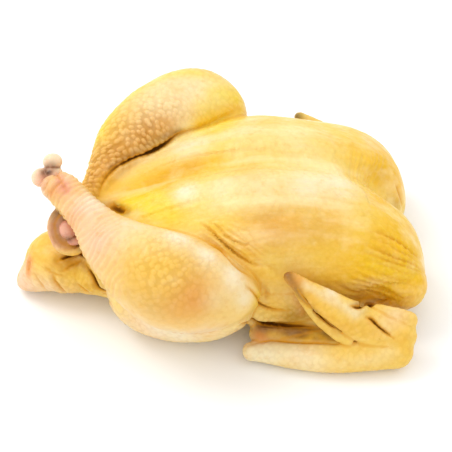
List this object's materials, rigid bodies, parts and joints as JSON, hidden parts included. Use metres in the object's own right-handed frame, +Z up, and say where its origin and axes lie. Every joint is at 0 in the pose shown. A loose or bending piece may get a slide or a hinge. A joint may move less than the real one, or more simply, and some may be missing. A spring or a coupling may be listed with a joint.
{
  "type": "whole raw chicken",
  "caption": "Whole raw yellow-skinned chicken lying on its back, legs crossed at the ankles, wings folded at its sides and tail on, for cooking scenes.",
  "frame": {"origin": "centre of the bounding box, on the table that the bird lies on", "axes": "+X from the tail to the neck, +Y to the bird's right leg, which lies further from the camera, +Z up out of the breast"},
  "size_m": [0.2451, 0.1954, 0.0968],
  "materials": {
    "skin": "moist satin raw poultry skin, golden yellow with pink and tan areas",
    "cartilage": "wet, pale cream joint ends at the ankles"
  },
  "bodies": {
    "root": {"chicken": "skin"}
  },
  "joints": []
}
